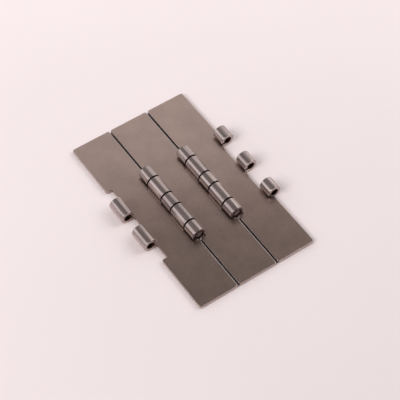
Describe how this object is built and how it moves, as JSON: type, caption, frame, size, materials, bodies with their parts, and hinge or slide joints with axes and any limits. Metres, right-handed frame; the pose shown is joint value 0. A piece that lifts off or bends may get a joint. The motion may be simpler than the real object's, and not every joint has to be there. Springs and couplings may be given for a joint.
{
  "type": "slat top chain",
  "caption": "Length of flat-top conveyor chain: wide steel slats with rolled eyes, hinged to each other on pins, with empty eyes at both ends.",
  "frame": {"origin": "centre of the middle slat's carrying face; the chain lies upside down on its carrying faces, at z = 0", "axes": "+X along the chain, from the end with the wide eyes to the end with the narrow eyes; +Y across the slats; +Z from the carrying faces towards the eyes"},
  "size_m": [0.1268, 0.1906, 0.0126],
  "materials": {
    "slat_steel": "rolled stainless steel, satin, with fine grain",
    "pin_steel": "ground steel, darker than the slats"
  },
  "bodies": {
    "link_1": {"slat_1": "slat_steel", "pin_1": "pin_steel"},
    "link_2": {"slat_2": "slat_steel", "pin_2": "pin_steel"},
    "link_3": {"slat_3": "slat_steel"}
  },
  "joints": [
    {"name": "hinge_1", "type": "hinge", "parent": "link_2", "child": "link_1", "pos_m": [-0.01905, 0, 0.0063], "axis": [0, 1, 0], "range_deg": [-10, 105]},
    {"name": "hinge_2", "type": "hinge", "parent": "link_2", "child": "link_3", "pos_m": [0.01905, 0, 0.0063], "axis": [0, -1, 0], "range_deg": [-10, 105]}
  ]
}
